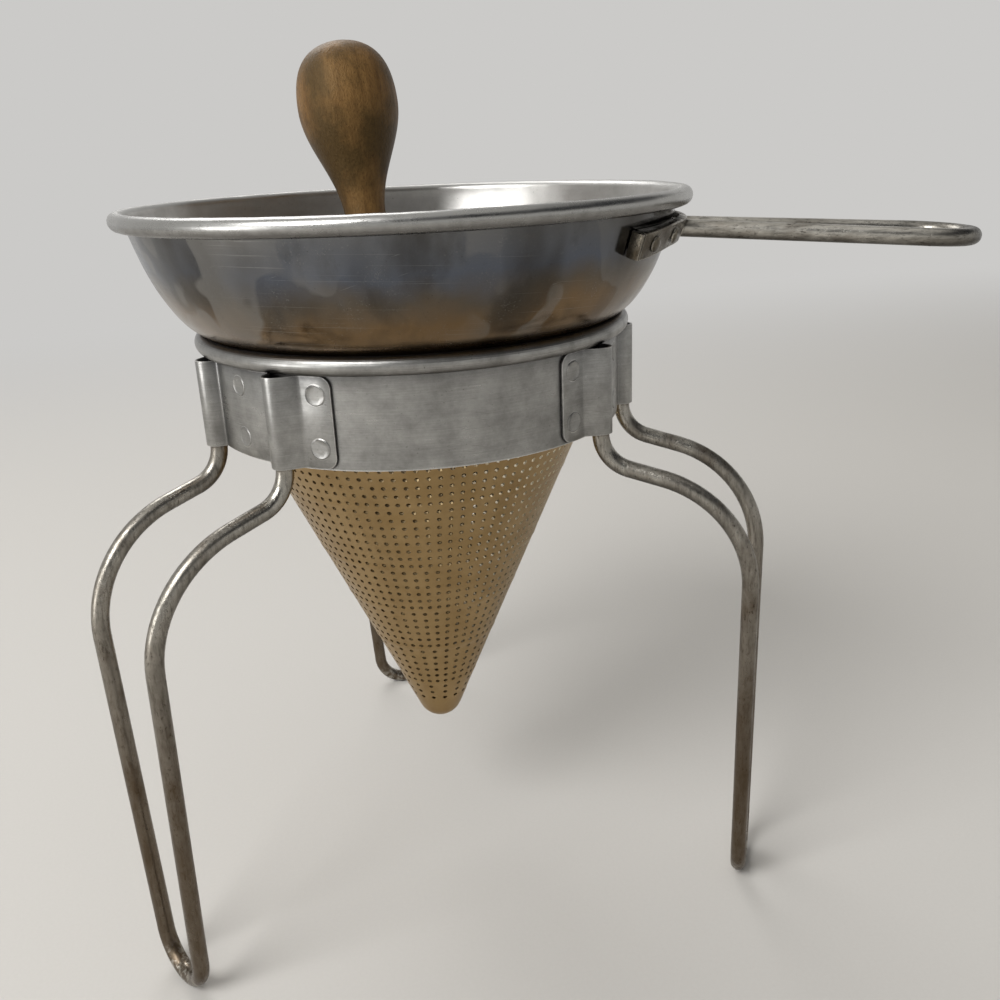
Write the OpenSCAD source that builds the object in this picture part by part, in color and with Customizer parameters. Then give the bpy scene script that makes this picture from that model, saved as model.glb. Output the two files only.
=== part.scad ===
// Conical strainer on a three-legged stand, with its pestle.
// The origin is on the floor, on the axis of the stand's ring. The rear leg is toward +Y.

/* [Stand ring] */
// Outside diameter of the ring's band
ring_d = 158; // [152:1:164]
// Height of the ring's top edge above the floor
stand_h = 239; // [225:1:255]
// Height of the ring, from its lower edge to the top of its bead
ring_h = 39.6; // [37:0.1:44]
// Thickness of the ring's sheet
ring_sheet = 1.2; // [0.8:0.1:1.5]
// Diameter of the rolled bead along the ring's top edge
ring_bead_d = 6.6; // [5.6:0.1:7.4]

/* [Socket plates] */
// Height of each socket plate
plate_h = 32; // [28:0.5:32.4]
// Thickness of the plates' sheet
plate_sheet = 1; // [0.7:0.1:1.3]
// Angle round the ring that one plate covers
plate_span = 60.4; // [54:0.2:70]
// Radius of the plates' outer corners
plate_corner_r = 4; // [2:0.5:8]
// Distance of the plates' lower edge above the ring's lower edge
plate_rise = 0.6; // [0.3:0.1:0.9]
// Clearance all round a leg's wire in its socket
socket_gap = 0.15; // [0.1:0.01:0.3]

/* [Legs] */
// Diameter of the legs' wire
leg_wire_d = 6.3; // [5:0.1:7]
// Distance between the centre lines of a leg's two prongs
prong_spacing = 45.4; // [40:0.2:50]
// Distance of a foot's centre line from the stand's axis
foot_reach = 135; // [125:1:150]
// Downward slope of a leg's shoulders
shoulder_slope = 14; // [8:1:20]
// Bend radius where a prong turns out into the shoulder
shoulder_bend_r = 13.8; // [10:0.2:16]
// Bend radius where the shoulder turns down at the knee
knee_bend_r = 43; // [35:1:48]
// Bend radius of the U at the foot
foot_bend_r = 14; // [11:0.5:17]
// Depth of the flat worn under each foot
foot_wear = 0.3; // [0.2:0.05:0.6]
// Distance of the prongs' ends below the plates' upper edge
prong_inset = 1.5; // [1:0.1:4]

/* [Strainer] */
// Outside diameter of the strainer's rim
rim_d = 216; // [206:1:230]
// Height of the rim's top above the ring's top edge
bowl_h = 45.4; // [40:0.2:52]
// Diameter of the rolled bead at the rim
rim_bead_d = 6.4; // [5.6:0.1:7.4]
// Thickness of the strainer's sheet
strainer_sheet = 1.2; // [0.8:0.1:1.4]
// Depth of the cone's top below the ring's top edge
neck_h = 18; // [14:0.5:22]
// Half angle of the cone
cone_half_angle = 23.5; // [21:0.5:26]
// Radius of the cone's rounded tip
tip_r = 10; // [7:0.5:14]
// Clearance between the strainer and the ring
seat_gap = 0.3; // [0.25:0.05:0.6]

/* [Handle] */
// Direction of the handle, turned from +X
handle_turn = -19; // [-60:1:60]
// Distance of the handle's far end from the strainer's axis
handle_reach = 212.4; // [195:1:240]
// Diameter of the handle's wire
handle_wire_d = 6.3; // [5.5:0.1:6.8]
// Distance between the centre lines of the handle's arms at the bracket
arm_spacing = 17; // [14:0.5:20]
// Bend radius of the handle's far end
handle_bend_r = 17.5; // [14:0.5:20]
// Downward slope of the handle
handle_droop = 3.6; // [0:0.2:8]
// Distance of the handle's root below the rim's top
handle_drop = 14.8; // [14.5:0.1:17]
// Thickness of the wire's ends, hammered flat inside the bracket
tail_t = 3.4; // [3:0.1:4.2]

/* [Handle bracket] */
// Angle round the bowl that the bracket covers
bracket_span = 68; // [66:1:76]
// Height of the bracket
bracket_h = 9.6; // [9:0.1:10.4]
// Thickness of the bracket's sheet
bracket_sheet = 1.1; // [0.8:0.1:1.2]
// Diameter of the rivets' shanks
rivet_d = 3.2; // [2.4:0.1:4]
// Diameter of the rivets' heads
rivet_head_d = 5.6; // [5:0.1:6.4]
// Height of the rivets' heads
rivet_head_h = 1.2; // [0.8:0.1:1.6]
// Angle from the handle to the rivets nearest to it
near_rivet_turn = 19.2; // [17:0.2:20]
// Angle from the handle to the rivets furthest from it
far_rivet_turn = 29.1; // [27:0.2:30]

/* [Pestle] */
// Length of the pestle
pestle_len = 292; // [280:1:310]
// Radius of the pestle's rounded tip
pestle_tip_r = 12; // [11:0.5:13]
// Half angle of the pestle's tapered body
pestle_taper = 6.4; // [5:0.2:8]
// Length of the tapered body, from the tip to the shoulder
masher_len = 122; // [110:1:130]
// Length over which the body narrows to the neck
pestle_waist_h = 15; // [12:0.5:18]
// Diameter of the pestle's neck
neck_d = 17.6; // [15:0.2:20]
// Diameter of the pestle's grip
grip_d = 43.4; // [38:0.2:46]
// Length of the grip, from the neck to the top
grip_len = 74; // [66:1:82]
// Length of the round crown at the grip's top
crown_h = 9; // [7:0.5:11]
// Direction in which the pestle leans, turned from +X
pestle_turn = 98.6; // [60:0.2:140]
// Clearance between the pestle and the strainer
pestle_gap = 0.3; // [0.25:0.05:0.6]

/* [Hidden] */
$fn = 96;
aluminium = "#b4b6b6";
satin_aluminium = "#9c9fa1";
old_steel = "#7d766c";
dark_wood = "#6e4a26";

// Directions of the legs, and of the plates that hold them
left_turn = 210;
right_turn = 330;
rear_turn = 90;

// Clearance between pieces that are fastened together
joint_gap = 0.05;

// Clearance under a flat rivet head on the bowl's curved wall
head_gap = 0.15;

// Angle from each end of the bracket to the end of the handle's wire in it
tail_end_turn = 2;

// Growth in a wire's diameter where each bend starts and ends
bend_swell = 0.1;

// Ring
ring_r = ring_d / 2;
ring_bore_r = ring_r - ring_sheet;
ring_bottom = stand_h - ring_h;
ring_bead_r = ring_bead_d / 2;
ring_bead_at = [ring_bore_r + ring_bead_r, stand_h - ring_bead_r];

// Socket plates and prongs
leg_wire_r = leg_wire_d / 2;
plate_bottom = ring_bottom + plate_rise;
plate_top = plate_bottom + plate_h;
plate_inner_r = ring_r + joint_gap;
socket_r = leg_wire_r + socket_gap;
channel_r = socket_r + plate_sheet;
prong_circle_r = ring_r + socket_r;
prong_y = prong_spacing / 2;
prong_x = sqrt(prong_circle_r * prong_circle_r - prong_y * prong_y);

// Legs, with x away from the stand's axis and y across the leg
stop_gap = 0.3;
foot_middle_z = leg_wire_r - foot_wear;
shoulder_setback = setback(90 - shoulder_slope, shoulder_bend_r);
shoulder_z = plate_bottom - stop_gap - shoulder_setback;
shoulder_run = foot_reach - prong_x;
knee_rise = shoulder_z - shoulder_run * tan(shoulder_slope) - foot_middle_z - foot_bend_r;
foot_lean = hairpin_lean(prong_y, knee_rise, foot_bend_r);
knee_turn = acos(sin(shoulder_slope) * cos(foot_lean));
knee_roll = atan2(-cos(shoulder_slope), sin(shoulder_slope) * sin(foot_lean));
knee_setback = setback(knee_turn, knee_bend_r);
shoulder_roll = atan2(sin(foot_lean), -cos(shoulder_slope) * cos(foot_lean));
shin_length = hairpin_arm(prong_y, knee_rise, foot_bend_r) - knee_setback;
shoulder_length = shoulder_run / cos(shoulder_slope) - knee_setback - shoulder_setback;
prong_length = plate_top - prong_inset - shoulder_z - shoulder_setback;

// Strainer
rim_bead_r = rim_bead_d / 2;
rim_top = stand_h + bowl_h;
rim_bead_at = [rim_d / 2 - rim_bead_r, rim_top - rim_bead_r];
nest_r = ring_bead_r + seat_gap;
strainer_neck_r = ring_bead_at[0] - nest_r;
cone_top = stand_h - neck_h;
cone_apex = cone_top - strainer_neck_r / tan(cone_half_angle);
tip_at = [0, cone_apex + tip_r / sin(cone_half_angle)];
inner_apex = cone_apex + strainer_sheet / sin(cone_half_angle);
seat_slope = 22;
wall_lean = 12;
rim_curl_end = -115;
ring_curl_end = -105;

// Bowl's outer line, from its seat on the ring's bead to its rim
bowl_start = ring_bead_at + nest_r * [-sin(seat_slope), cos(seat_slope)];
bowl_end = [rim_bead_at[0] - rim_bead_r + strainer_sheet, rim_bead_at[1]];
bowl_rise = bowl_end[1] - bowl_start[1];
bowl_low_pull = bowl_start + 0.27 * bowl_rise * [cos(seat_slope), sin(seat_slope)];
bowl_high_pull = bowl_end - 0.54 * bowl_rise * [sin(wall_lean), cos(wall_lean)];
bowl_line = curve(bowl_start, bowl_low_pull, bowl_high_pull, bowl_end, 20);

// Bracket and handle, measured from the bowl's wall at the handle's root
root_z = rim_top - handle_drop;
root_r = wall_r(root_z);
root_lean = atan((wall_r(root_z + bracket_h / 2) - wall_r(root_z - bracket_h / 2)) / bracket_h);
tail_depth = 2 * joint_gap;
pan_depth = tail_depth + tail_t + joint_gap + bracket_sheet;
handle_wire_r = handle_wire_d / 2;
arm_y = arm_spacing / 2;
handle_end_x = handle_reach - handle_wire_r - handle_bend_r;
arm_root = root_r + handle_wire_r / 2;
rivet_turns = [for (side = [-1, 1], a = [near_rivet_turn, far_rivet_turn]) side * a];

// Pestle, leaning until its tapered body lies along the cone's wall
pestle_lean = cone_half_angle - pestle_taper;
pestle_pivot_z = inner_apex + (pestle_tip_r + pestle_gap) / sin(cone_half_angle);
shoulder_r = (pestle_tip_r + (masher_len - pestle_tip_r) * sin(pestle_taper)) / cos(pestle_taper);

// Distance from a corner to where its bend starts, for a turn of some degrees
function setback(turn, r) = r * tan(turn / 2);

// Angle at which a hairpin's arms close in on a U-bend that lies some distance away
function hairpin_lean(half_gap, distance, bend_r) =
  atan(half_gap / distance) - asin(bend_r / norm([half_gap, distance]));

// Length of a hairpin's arm, up to the U-bend
function hairpin_arm(half_gap, distance, bend_r) =
  sqrt(half_gap * half_gap + distance * distance - bend_r * bend_r);

// Outer radius of the bowl's wall at a height
function wall_r(z) = lookup(z, [for (p = bowl_line) [p[1], p[0]]]);

function unit(v) = v / norm(v);

// Points along an arc, both ends counted
function arc(centre, r, from, to, steps) =
  [for (i = [0:steps]) let (a = from + (to - from) * i / steps) centre + r * [cos(a), sin(a)]];

// Points along a cubic curve, both ends counted
function curve(a, b, c, d, steps) =
  [for (i = [0:steps]) let (t = i / steps, u = 1 - t)
    u * u * u * a + 3 * u * u * t * b + 3 * u * t * t * c + t * t * t * d];

function reversed(list) = [for (i = [len(list) - 1:-1:0]) list[i]];

// Drops each point that repeats the one before it
function distinct(line) =
  [for (i = [0:len(line) - 1]) if (i == 0 || norm(line[i] - line[max(0, i - 1)]) > 0.001) line[i]];

// Direction square to the left of a line at one of its points
function left_of(line, i) =
  let (step = unit(line[min(i + 1, len(line) - 1)] - line[i - (i > 0 ? 1 : 0)])) [-step[1], step[0]];

// The same line moved to its left, and never across the axis
function moved_left(line, t) =
  [for (i = [0:len(line) - 1]) let (p = line[i] + t * left_of(line, i)) [max(0, p[0]), p[1]]];

// Outline of sheet metal that follows a line and is t thick to its left
module sheet(line, t) {
  points = distinct(line);
  polygon(concat(points, reversed(moved_left(points, t))));
}

// Straight wire along +Z, with what comes next placed at its end
module straight(length, d) {
  cylinder(h = length, d = d);
  translate([0, 0, length]) children();
}

// Wire that bends from +Z toward +X, with what comes next placed at its end
module bend(turn, r, d) {
  sphere(d = d + bend_swell);
  translate([r, 0, 0]) rotate([90, 0, 180])
    rotate_extrude(angle = turn) translate([r, 0]) circle(d = d);
  translate([r, 0, 0]) rotate([0, turn, 0]) translate([-r, 0, 0]) {
    sphere(d = d + bend_swell);
    children();
  }
}

// U-bend that starts from its middle, with what comes next placed at both ends
module u_bend(lean, r, d) {
  turn = 90 - lean;
  translate([r, 0, 0]) rotate([90, 0, 180]) rotate([0, 0, -turn])
    rotate_extrude(angle = 2 * turn) translate([r, 0]) circle(d = d);
  for (side = [0, 1]) mirror([0, 0, side])
    translate([r, 0, 0]) rotate([0, turn, 0]) translate([-r, 0, 0]) {
      sphere(d = d + bend_swell);
      children();
    }
}

// Turns the plane of the next bend round the wire
module roll(angle) {
  rotate([0, 0, angle]) children();
}

// Rectangle with round corners, centred on x and standing on y = 0
module round_plate(w, h, r) {
  polygon(concat(
    arc([w / 2 - r, r], r, -90, 0, 8),
    arc([w / 2 - r, h - r], r, 0, 90, 8),
    arc([r - w / 2, h - r], r, 90, 180, 8),
    arc([r - w / 2, r], r, 180, 270, 8)
  ));
}

// Ring: a band whose top edge is rolled outward into a hollow bead
module stand_ring() {
  band = [[ring_r, ring_bottom], [ring_r, ring_bead_at[1]]];
  curl = arc(ring_bead_at, ring_bead_r - ring_sheet, 180, ring_curl_end, 24);
  color(satin_aluminium)
    rotate_extrude() sheet(concat(band, curl), ring_sheet);
}

// Plan of one channel round a prong, r being the radius of its round back
module channel_plan(r) {
  translate([prong_x, 0]) circle(r = r);
  translate([prong_x - channel_r * 2, -r]) square([channel_r * 2, 2 * r]);
}

// Plan of a socket plate, centred on +X
module plate_plan() {
  reach = plate_inner_r + plate_sheet;
  difference() {
    union() {
      circle(r = reach);
      for (side = [-1, 1]) translate([0, side * prong_y]) channel_plan(channel_r);
    }
    circle(r = plate_inner_r);
    for (side = [-1, 1]) translate([0, side * prong_y]) channel_plan(socket_r);
  }
}

// Socket plate: two channels with a web between them and a tab at each end
module socket_plate(turn) {
  width = 2 * (plate_inner_r + plate_sheet) * sin(plate_span / 2);
  depth = ring_r;
  color(satin_aluminium)
    rotate([0, 0, turn]) translate([0, 0, plate_bottom])
      intersection() {
        linear_extrude(plate_h) plate_plan();
        translate([depth / 2, 0, 0]) rotate([90, 0, 90])
          linear_extrude(depth) round_plate(width, plate_h, plate_corner_r);
      }
}

// Leg: one wire, bent into two prongs, two shoulders and a U-shaped foot with a worn flat
module leg(turn) {
  d = leg_wire_d;
  color(old_steel)
    rotate([0, 0, turn])
      difference() {
        translate([foot_reach, 0, foot_middle_z]) rotate([0, -90, -90])
          u_bend(foot_lean, foot_bend_r, d)
          straight(shin_length, d)
          roll(knee_roll) bend(knee_turn, knee_bend_r, d)
          straight(shoulder_length, d)
          roll(shoulder_roll) bend(90 - shoulder_slope, shoulder_bend_r, d)
          straight(prong_length, d);
        translate([foot_reach, 0, -d / 2]) cube([4 * d, 4 * foot_bend_r, d], center = true);
      }
}

// Outer line of the strainer, from the cone's tip to the wall's top
function strainer_line() = concat(
  arc(tip_at, tip_r, -90, -cone_half_angle, 10),
  [[strainer_neck_r, cone_top]],
  arc(ring_bead_at, nest_r, 180, 90 + seat_slope, 6),
  bowl_line
);

// Strainer: one drawn shell, with a cone, a neck, a bowl and a rolled rim
module strainer() {
  curl = arc(rim_bead_at, rim_bead_r - strainer_sheet, 180, rim_curl_end, 24);
  color(aluminium)
    difference() {
      rotate_extrude() sheet(concat(strainer_line(), curl), strainer_sheet);
      rivet_shanks(rivet_d + 2 * joint_gap);
    }
}

// Places children at the handle's root on the bowl's wall, with x square to the wall
module at_wall(turn) {
  rotate([0, 0, handle_turn + turn]) translate([root_r, 0, root_z]) rotate([0, root_lean, 0])
    children();
}

// Shanks of all the rivets, through the bowl's wall, the handle's ends and the bracket
module rivet_shanks(d) {
  for (turn = rivet_turns) at_wall(turn)
    translate([-strainer_sheet - head_gap, 0, 0]) rotate([0, 90, 0])
      cylinder(h = head_gap + strainer_sheet + pan_depth + joint_gap, d = d);
}

// Domed rivet head that stands on the YZ plane
module rivet_head() {
  dome_r = (rivet_head_d * rivet_head_d / 4 + rivet_head_h * rivet_head_h) / (2 * rivet_head_h);
  rotate([0, 90, 0]) intersection() {
    translate([0, 0, rivet_head_h - dome_r]) sphere(r = dome_r);
    cylinder(h = rivet_head_h + 1, d = rivet_head_d + 1);
  }
}

// Rivets: shanks with a domed head at each end
module handle_rivets() {
  color(old_steel) {
    rivet_shanks(rivet_d);
    for (turn = rivet_turns) at_wall(turn) {
      translate([pan_depth + joint_gap, 0, 0]) rivet_head();
      translate([-strainer_sheet - head_gap, 0, 0]) mirror([1, 0, 0]) rivet_head();
    }
  }
}

// Ring sector round the handle's root, from depth a to depth b out from the wall
module wall_sector(a, b, low, high, from, to) {
  rotate([0, 0, handle_turn + from])
    rotate_extrude(angle = to - from)
      translate([root_r, root_z]) rotate(-root_lean) polygon([[a, low], [b, low], [b, high], [a, high]]);
}

// Bracket: a shallow pan whose top and ends fold in to the bowl's wall
module handle_bracket() {
  half = bracket_span / 2;
  half_h = bracket_h / 2;
  fold = bracket_sheet / (root_r + pan_depth) * 180 / PI;
  color(old_steel)
    difference() {
      wall_sector(joint_gap, pan_depth, -half_h, half_h, -half, half);
      wall_sector(-joint_gap, pan_depth - bracket_sheet, -bracket_h, half_h - bracket_sheet,
                  fold - half, half - fold);
      rivet_shanks(rivet_d + 2 * joint_gap);
      handle_wire(handle_wire_d + 4 * joint_gap);
    }
}

// The handle's loop of wire, from the middle of its far end to the bowl's wall
module handle_wire(d) {
  reach = handle_end_x - arm_root;
  lean = hairpin_lean(arm_y, reach, handle_bend_r);
  rotate([0, 0, handle_turn]) translate([root_r, 0, root_z]) rotate([0, handle_droop, 0])
    translate([handle_end_x + handle_bend_r - root_r, 0, 0]) rotate([90, 0, 180])
      u_bend(lean, handle_bend_r, d)
      straight(hairpin_arm(arm_y, reach, handle_bend_r), d);
}

// Handle: one wire loop, whose ends are hammered flat along the wall inside the bracket
module handle() {
  tail_half_h = bracket_h / 2 - bracket_sheet - joint_gap;
  tail_from = asin((arm_y - handle_wire_r / 2) / root_r);
  tail_to = bracket_span / 2 - tail_end_turn;
  color(old_steel)
    difference() {
      union() {
        handle_wire(handle_wire_d);
        for (span = [[tail_from, tail_to], [-tail_to, -tail_from]])
          wall_sector(tail_depth, tail_depth + tail_t, -tail_half_h, tail_half_h, span[0], span[1]);
      }
      rivet_shanks(rivet_d + 2 * joint_gap);
    }
}

// Pestle: one turned piece, with a tapered body, a thin neck and a round grip
module pestle() {
  neck_r = neck_d / 2;
  grip_r = grip_d / 2;
  neck_top = pestle_len - grip_len;
  widest = neck_top + 0.65 * grip_len;
  neck_low = masher_len + 0.7 * (neck_top - masher_len);
  shoulder = curve([shoulder_r, masher_len], [shoulder_r * 1.08, masher_len + pestle_waist_h],
                   [neck_r, masher_len + pestle_waist_h], [neck_r, neck_low], 14);
  grip_low = curve([neck_r, neck_top], [neck_r, neck_top + 0.25 * grip_len],
                   [grip_r, widest - 0.22 * grip_len], [grip_r, widest], 14);
  grip_high = curve([grip_r, widest], [grip_r, pestle_len - crown_h],
                    [grip_r * 0.74, pestle_len], [0, pestle_len], 12);
  tip = arc([0, pestle_tip_r], pestle_tip_r, -90, -pestle_taper, 8);
  outline = concat(tip, shoulder, grip_low, grip_high);
  color(dark_wood)
    translate([0, 0, pestle_pivot_z]) rotate([0, 0, pestle_turn]) rotate([0, pestle_lean, 0])
      translate([0, 0, -pestle_tip_r]) rotate_extrude() polygon(distinct(outline));
}

stand_ring();
socket_plate(left_turn);  // socket_plate_left
socket_plate(right_turn);  // socket_plate_right
socket_plate(rear_turn);  // socket_plate_rear
leg(left_turn);  // leg_left
leg(right_turn);  // leg_right
leg(rear_turn);  // leg_rear
strainer();
handle_bracket();
handle();
handle_rivets();
pestle();
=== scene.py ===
"""Conical strainer in its three-legged stand, with its pestle, dressed for rendering.

Every length is in metres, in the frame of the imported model: the origin is on the floor, on the
axis of the ring, with +Z up and the rear leg toward +Y.
"""

import logging
import math
from dataclasses import dataclass
from enum import Enum

import bpy
import bmesh
from mathutils import Matrix, Vector


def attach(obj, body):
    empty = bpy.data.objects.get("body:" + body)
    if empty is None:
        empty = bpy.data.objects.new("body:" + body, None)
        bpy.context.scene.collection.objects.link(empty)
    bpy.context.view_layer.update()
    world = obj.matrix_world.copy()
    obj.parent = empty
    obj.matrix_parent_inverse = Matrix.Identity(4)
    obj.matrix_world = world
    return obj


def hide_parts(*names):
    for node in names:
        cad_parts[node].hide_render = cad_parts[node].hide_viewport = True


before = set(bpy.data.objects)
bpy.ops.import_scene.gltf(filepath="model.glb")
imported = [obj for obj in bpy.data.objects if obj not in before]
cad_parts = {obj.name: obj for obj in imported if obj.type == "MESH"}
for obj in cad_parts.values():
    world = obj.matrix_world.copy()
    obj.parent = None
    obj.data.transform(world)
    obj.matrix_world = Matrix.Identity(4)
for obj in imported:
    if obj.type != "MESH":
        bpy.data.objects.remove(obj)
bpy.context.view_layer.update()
MM = 0.001
LOG = logging.getLogger("strainer")
Point = tuple[float, float]
Socket = bpy.types.NodeSocket
Colour = tuple[float, float, float, float]

# Bevel profile at which a point inside a sheet opens into an octagon on a circle
ROUND_PROFILE = (1 - math.sqrt(0.5)) ** 2


class Body(Enum):
    """The bodies that new pieces ride on."""

    STAND = "stand"
    STRAINER = "strainer_body"
    PESTLE = "pestle_body"


class Slot(Enum):
    """The material slots of the model."""

    SHEET = "aluminium"
    SATIN = "satin_aluminium"
    STEEL = "old_steel"
    WOOD = "dark_wood"


def linear(hex_colour: str) -> Colour:
    """Turns an sRGB colour into linear light.

    Args:
        hex_colour: The colour, such as "#a0a0a0".

    Returns:
        Linear red, green, blue and an alpha of 1.
    """
    parts = [int(hex_colour[i:i + 2], 16) / 255 for i in (1, 3, 5)]
    return (*[p / 12.92 if p <= 0.04045 else ((p + 0.055) / 1.055) ** 2.4 for p in parts], 1.0)


def add(tree: bpy.types.NodeTree, kind: str, inputs: dict | None = None, **settings) -> bpy.types.Node:
    """Adds a node with its settings and links.

    Args:
        tree: The node tree to add to.
        kind: The node's type.
        inputs: Input names or numbers, with a value or a socket to link.
        settings: Properties of the node.

    Returns:
        The new node.
    """
    node = tree.nodes.new(kind)
    for name, value in settings.items():
        setattr(node, name, value)
    for key, value in (inputs or {}).items():
        if isinstance(value, Socket):
            tree.links.new(value, node.inputs[key])
        else:
            node.inputs[key].default_value = value
    return node


def arc(centre: Point, r: float, start: float, end: float, steps: int) -> list[Point]:
    """Points along an arc, both ends counted.

    Args:
        centre: The arc's centre.
        r: Its radius.
        start: The first angle, in degrees.
        end: The last angle, in degrees.
        steps: The number of spans.

    Returns:
        The points.
    """
    turns = [math.radians(start + (end - start) * i / steps) for i in range(steps + 1)]
    return [(centre[0] + r * math.cos(t), centre[1] + r * math.sin(t)) for t in turns]


def curve(a: Point, b: Point, c: Point, d: Point, steps: int) -> list[Point]:
    """Points along a cubic curve, both ends counted.

    Args:
        a: The first point.
        b: The point that the curve leaves toward.
        c: The point that the curve arrives from.
        d: The last point.
        steps: The number of spans.

    Returns:
        The points.
    """
    made = []
    for i in range(steps + 1):
        t = i / steps
        u = 1 - t
        shares = (u ** 3, 3 * u * u * t, 3 * u * t * t, t ** 3)
        made.append(tuple(sum(k * p[n] for k, p in zip(shares, (a, b, c, d))) for n in (0, 1)))
    return made


def clear_selection() -> None:
    """Deselects every object."""
    for item in bpy.context.selected_objects:
        item.select_set(False)


def only(piece: bpy.types.Object) -> None:
    """Makes one object the selected and active one."""
    clear_selection()
    piece.select_set(True)
    bpy.context.view_layer.objects.active = piece


def pick(piece: bpy.types.Object, test, what: str = "VERT") -> int:
    """Selects parts of a mesh that is in edit mode, and nothing else.

    Args:
        piece: The object in edit mode.
        test: Tells of a vertex, edge or face whether it is taken.
        what: VERT, EDGE or FACE.

    Returns:
        How many were taken.
    """
    bpy.ops.mesh.select_mode(type=what)
    bpy.ops.mesh.select_all(action="DESELECT")
    mesh = bmesh.from_edit_mesh(piece.data)
    parts = {"VERT": mesh.verts, "EDGE": mesh.edges, "FACE": mesh.faces}[what]
    taken = [part for part in parts if test(part)]
    for part in taken:
        part.select_set(True)
    bmesh.update_edit_mesh(piece.data)
    return len(taken)


def middle(edge: bmesh.types.BMEdge) -> Vector:
    """The middle of an edge."""
    return (edge.verts[0].co + edge.verts[1].co) / 2


def seed(name: str, point: Vector) -> bpy.types.Object:
    """Starts a piece as one selected point, in edit mode.

    Args:
        name: The piece's name.
        point: Where the point lies.

    Returns:
        The new object.
    """
    clear_selection()
    bpy.ops.mesh.primitive_plane_add(size=MM)
    piece = settle(bpy.context.object, name)
    bpy.ops.object.mode_set(mode="EDIT")
    bpy.ops.mesh.select_mode(type="VERT")
    bpy.ops.mesh.select_all(action="SELECT")
    bpy.ops.mesh.merge(type="CENTER")
    bpy.ops.transform.translate(value=point)
    return piece


def draw(line: list[Vector]) -> None:
    """Extrudes the selected point from the first point of a line to the last."""
    for before, point in zip(line, line[1:]):
        bpy.ops.mesh.extrude_region_move(TRANSFORM_OT_translate={"value": point - before})


def ring_up(line: list[Point], before: Point) -> None:
    """Extrudes the selected ring of edges, which lies around the Z axis, along a line.

    Args:
        line: Radius and height of each new ring.
        before: Radius and height of the selected ring.
    """
    for r, z in line:
        bpy.ops.mesh.extrude_edges_move()
        k = r / before[0]
        bpy.ops.transform.resize(value=(k, k, 1), center_override=(0, 0, before[1]))
        bpy.ops.transform.translate(value=(0, 0, z - before[1]))
        before = (r, z)


def settle(piece: bpy.types.Object, name: str) -> bpy.types.Object:
    """Leaves edit mode, names a piece, and applies its place, turn and scale.

    Args:
        piece: The object.
        name: Its new name.

    Returns:
        The same object.
    """
    if bpy.context.mode != "OBJECT":
        bpy.ops.object.mode_set(mode="OBJECT")
    only(piece)
    bpy.ops.object.transform_apply(location=True, rotation=True, scale=True)
    piece.name = name
    piece.data.name = name
    return piece


def face_out(piece: bpy.types.Object, away) -> None:
    """Turns a sheet's faces to the side that most of them should show.

    Args:
        piece: The object.
        away: Gives the outward direction at a place.
    """
    score = sum(face.area * (1 if face.normal.dot(away(face.center)) > 0 else -1) for face in piece.data.polygons)
    if score < 0:
        only(piece)
        bpy.ops.object.mode_set(mode="EDIT")
        bpy.ops.mesh.select_all(action="SELECT")
        bpy.ops.mesh.flip_normals()
        bpy.ops.object.mode_set(mode="OBJECT")


def radial(place: Vector) -> Vector:
    """Direction away from the Z axis."""
    return Vector((place.x, place.y, 0))


def join(pieces: list[bpy.types.Object]) -> bpy.types.Object:
    """Joins pieces into the first one."""
    only(pieces[0])
    for piece in pieces[1:]:
        piece.select_set(True)
    bpy.ops.object.join()
    return bpy.context.object


def copy(piece: bpy.types.Object, name: str) -> bpy.types.Object:
    """A copy of a piece, with a mesh of its own."""
    only(piece)
    bpy.ops.object.duplicate(linked=False)
    return settle(bpy.context.object, name)


def apply(piece: bpy.types.Object, kind: str, **settings) -> None:
    """Adds a modifier with its settings and applies it.

    Args:
        piece: The object.
        kind: The modifier's type.
        settings: Properties of the modifier.
    """
    only(piece)
    modifier = piece.modifiers.new(kind.title(), kind)
    for key, value in settings.items():
        setattr(modifier, key, value)
    bpy.ops.object.modifier_apply(modifier=modifier.name)


def smooth(piece: bpy.types.Object, angle: float = 35) -> None:
    """Shades a piece smooth, with edges sharper than an angle in degrees left crisp."""
    only(piece)
    bpy.ops.object.shade_smooth_by_angle(angle=math.radians(angle))


def dress(piece: bpy.types.Object, material: bpy.types.Material) -> None:
    """Gives a whole piece one material."""
    piece.data.materials.clear()
    piece.data.materials.append(material)
    for face in piece.data.polygons:
        face.material_index = 0


def install(piece: bpy.types.Object, node: str, slot: Slot, body: Body) -> None:
    """Puts a finished piece in a CAD node's place.

    Args:
        piece: The finished piece.
        node: The node that it replaces.
        slot: Its material slot; not used.
        body: The body that it rides on.
    """
    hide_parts(node)
    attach(piece, body.value)
    LOG.info("%s replaces %s: %d faces", piece.name, node, len(piece.data.polygons))


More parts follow.
